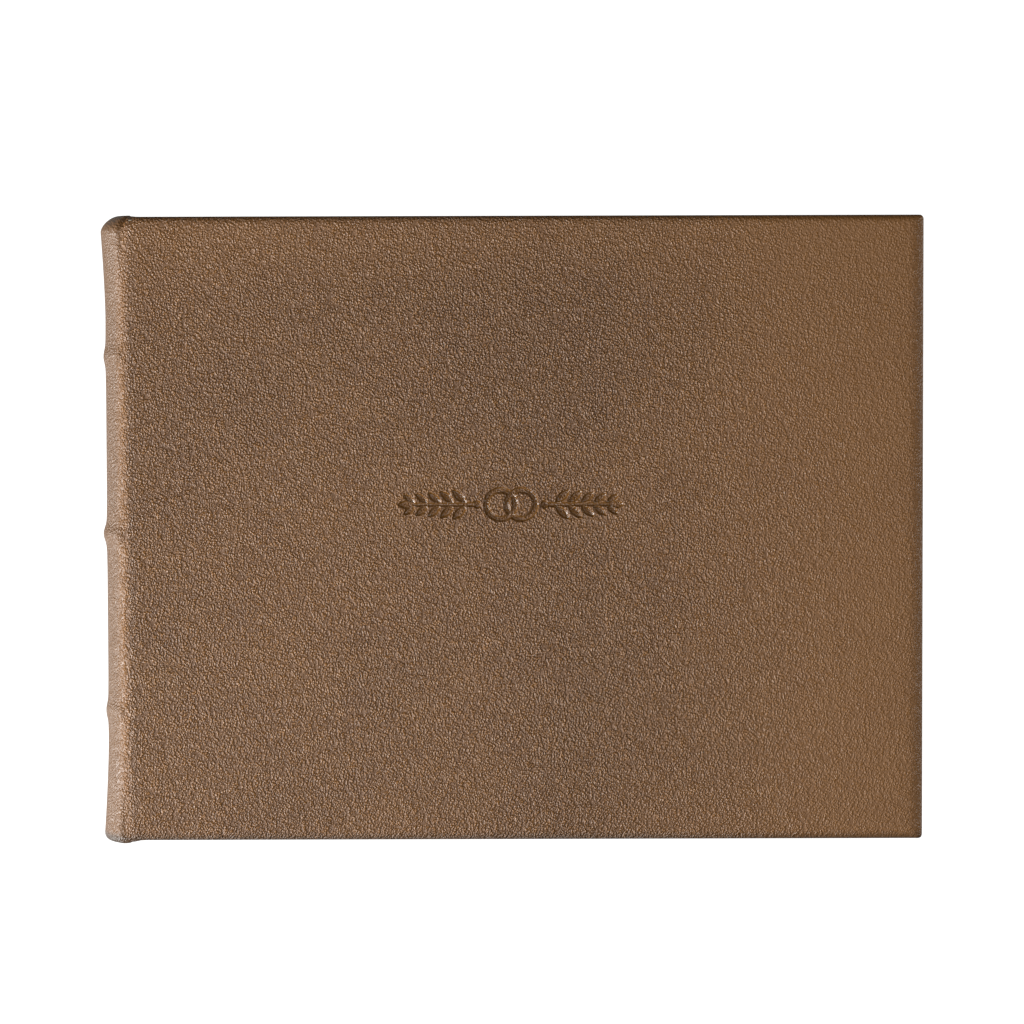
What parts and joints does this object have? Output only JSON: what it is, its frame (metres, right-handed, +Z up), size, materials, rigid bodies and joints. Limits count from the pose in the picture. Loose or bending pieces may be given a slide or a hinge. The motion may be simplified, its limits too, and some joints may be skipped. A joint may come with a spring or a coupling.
{
  "type": "guest book",
  "caption": "Landscape guest book, case-bound in brown leather, with a rounded ribbed spine, hinged covers, endpapers, sewn signatures and turning leaves.",
  "frame": {"origin": "on the plane the closed book lies on, under the middle of the book's overall length and height", "axes": "+X from the spine towards the fore edge, +Y from tail to head, +Z up through the thickness, out of the front cover"},
  "size_m": [0.2346, 0.1788, 0.0235],
  "materials": {
    "leather": "pebbled, semi-matt",
    "board": "grey binder's board",
    "endpaper": "uncoated paper",
    "leaf_paper": "uncoated ivory paper",
    "lining_paper": "brown kraft paper",
    "mull_cloth": "open cotton weave",
    "tape": "linen tape",
    "thread": "waxed linen thread",
    "cord": "twisted hemp cord",
    "endband_silk": "striped silk"
  },
  "bodies": {
    "book_block": {"spine_leather": "leather", "spine_stiffener": "board", "raised_band_1": "board", "raised_band_2": "board", "raised_band_3": "board", "head_cap_cord": "cord", "tail_cap_cord": "cord", "head_band": "endband_silk", "tail_band": "endband_silk", "spine_lining": "lining_paper", "mull": "mull_cloth", "sewing_thread": "thread", "sewing_tape_1": "tape", "sewing_tape_2": "tape", "sewing_tape_3": "tape", "signature_01": "leaf_paper", "signature_02": "leaf_paper", "signature_03": "leaf_paper", "signature_04": "leaf_paper", "signature_05": "leaf_paper", "signature_06": "leaf_paper", "signature_07": "leaf_paper", "signature_08": "leaf_paper", "signature_09": "leaf_paper", "signature_10": "leaf_paper", "signature_11": "leaf_paper", "signature_12": "leaf_paper"},
    "front_cover": {"front_cover_leather": "leather", "front_board": "board", "front_infill": "board", "front_pastedown": "endpaper"},
    "back_cover": {"back_cover_leather": "leather", "back_board": "board", "back_infill": "board", "back_pastedown": "endpaper"},
    "front_flyleaf": {"front_flyleaf": "endpaper"},
    "back_flyleaf": {"back_flyleaf": "endpaper"},
    "guest_leaf_1": {"guest_leaf_1": "leaf_paper"},
    "guest_leaf_2": {"guest_leaf_2": "leaf_paper"},
    "guest_leaf_3": {"guest_leaf_3": "leaf_paper"},
    "guest_leaf_4": {"guest_leaf_4": "leaf_paper"}
  },
  "joints": [
    {"name": "front_cover_hinge", "type": "hinge", "parent": "book_block", "child": "front_cover", "pos_m": [-0.10835, 0, 0.02357], "axis": [0, -1, 0], "range_deg": [0, 178]},
    {"name": "back_cover_hinge", "type": "hinge", "parent": "book_block", "child": "back_cover", "pos_m": [-0.10835, 0, -0.00003], "axis": [0, 1, 0], "range_deg": [0, 178]},
    {"name": "front_flyleaf_turn", "type": "hinge", "parent": "book_block", "child": "front_flyleaf", "pos_m": [-0.10835, 0, 0.02357], "axis": [0, -1, 0], "range_deg": [0, 176.36]},
    {"name": "guest_leaf_1_turn", "type": "hinge", "parent": "book_block", "child": "guest_leaf_1", "pos_m": [-0.10835, 0, 0.02357], "axis": [0, -1, 0], "range_deg": [0, 174.05]},
    {"name": "guest_leaf_2_turn", "type": "hinge", "parent": "book_block", "child": "guest_leaf_2", "pos_m": [-0.10835, 0, 0.02357], "axis": [0, -1, 0], "range_deg": [0, 171.56]},
    {"name": "guest_leaf_3_turn", "type": "hinge", "parent": "book_block", "child": "guest_leaf_3", "pos_m": [-0.10835, 0, 0.02357], "axis": [0, -1, 0], "range_deg": [0, 168.89]},
    {"name": "guest_leaf_4_turn", "type": "hinge", "parent": "book_block", "child": "guest_leaf_4", "pos_m": [-0.10835, 0, 0.02357], "axis": [0, -1, 0], "range_deg": [0, 12.96]},
    {"name": "back_flyleaf_turn", "type": "hinge", "parent": "book_block", "child": "back_flyleaf", "pos_m": [-0.10835, 0, -0.00003], "axis": [0, 1, 0], "range_deg": [0, 176.36]}
  ],
  "couplings": [
    {"joint": "front_flyleaf_turn", "follows": "front_cover_hinge", "ratio": 0.988},
    {"joint": "guest_leaf_1_turn", "follows": "front_cover_hinge", "ratio": 0.975},
    {"joint": "guest_leaf_2_turn", "follows": "front_cover_hinge", "ratio": 0.961},
    {"joint": "guest_leaf_3_turn", "follows": "front_cover_hinge", "ratio": 0.946},
    {"joint": "guest_leaf_4_turn", "follows": "front_cover_hinge", "ratio": 0.07},
    {"joint": "back_flyleaf_turn", "follows": "back_cover_hinge", "ratio": 0.988}
  ]
}
